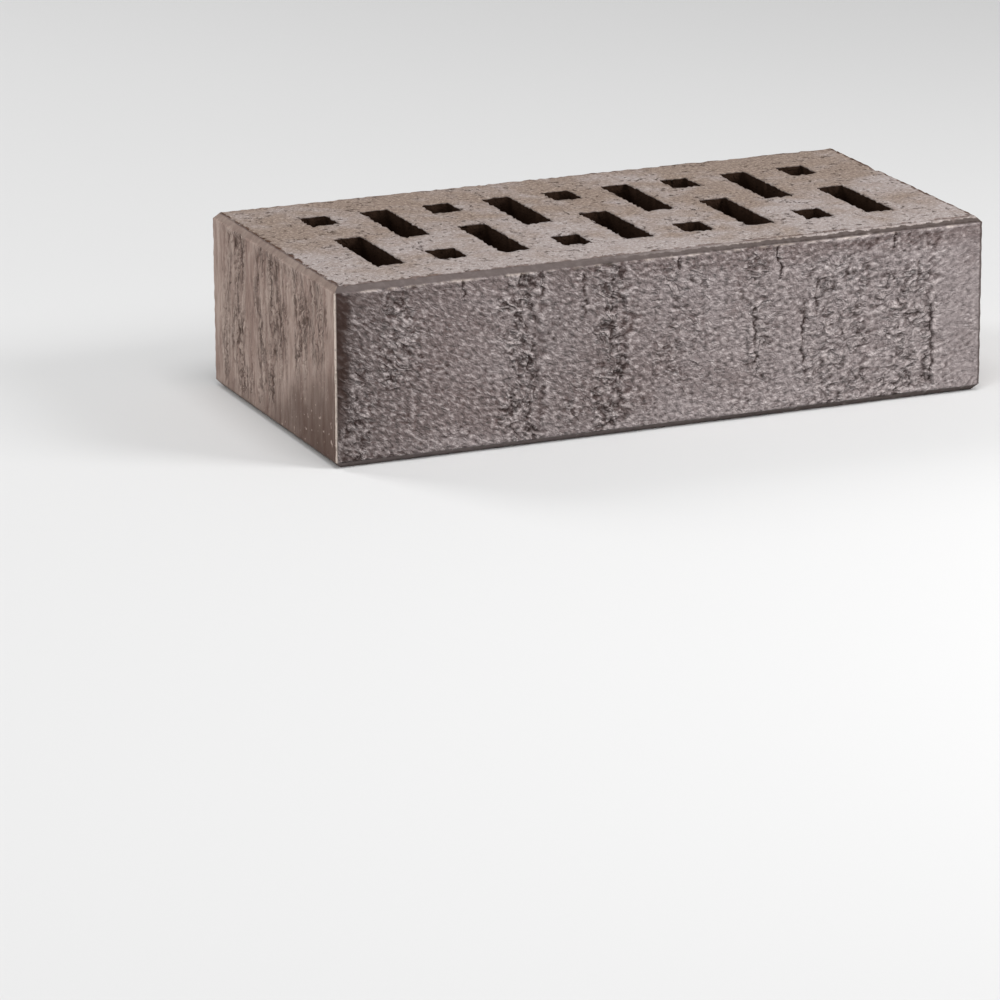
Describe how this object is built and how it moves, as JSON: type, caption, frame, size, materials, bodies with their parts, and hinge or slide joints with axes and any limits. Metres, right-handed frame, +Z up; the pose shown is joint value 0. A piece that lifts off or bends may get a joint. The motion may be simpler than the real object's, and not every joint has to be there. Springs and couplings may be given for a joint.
{
  "type": "clay brick",
  "caption": "Dark brown perforated facing brick: a bevelled rectangular block of fired clay with a bark relief on its sides and rows of slots and short holes through its beds, laid in mortar.",
  "frame": {"origin": "middle of the lower bed face, on the surface that the brick rests on", "axes": "+X along the length, +Y across the width from the front face to the back, +Z up through the holes"},
  "size_m": [0.25, 0.12, 0.065],
  "materials": {
    "fired_clay": "dark brown fired clay, flashed with a faint sheen on the sides, matt on the beds"
  },
  "bodies": {
    "root": {"brick": "fired_clay"}
  },
  "joints": []
}
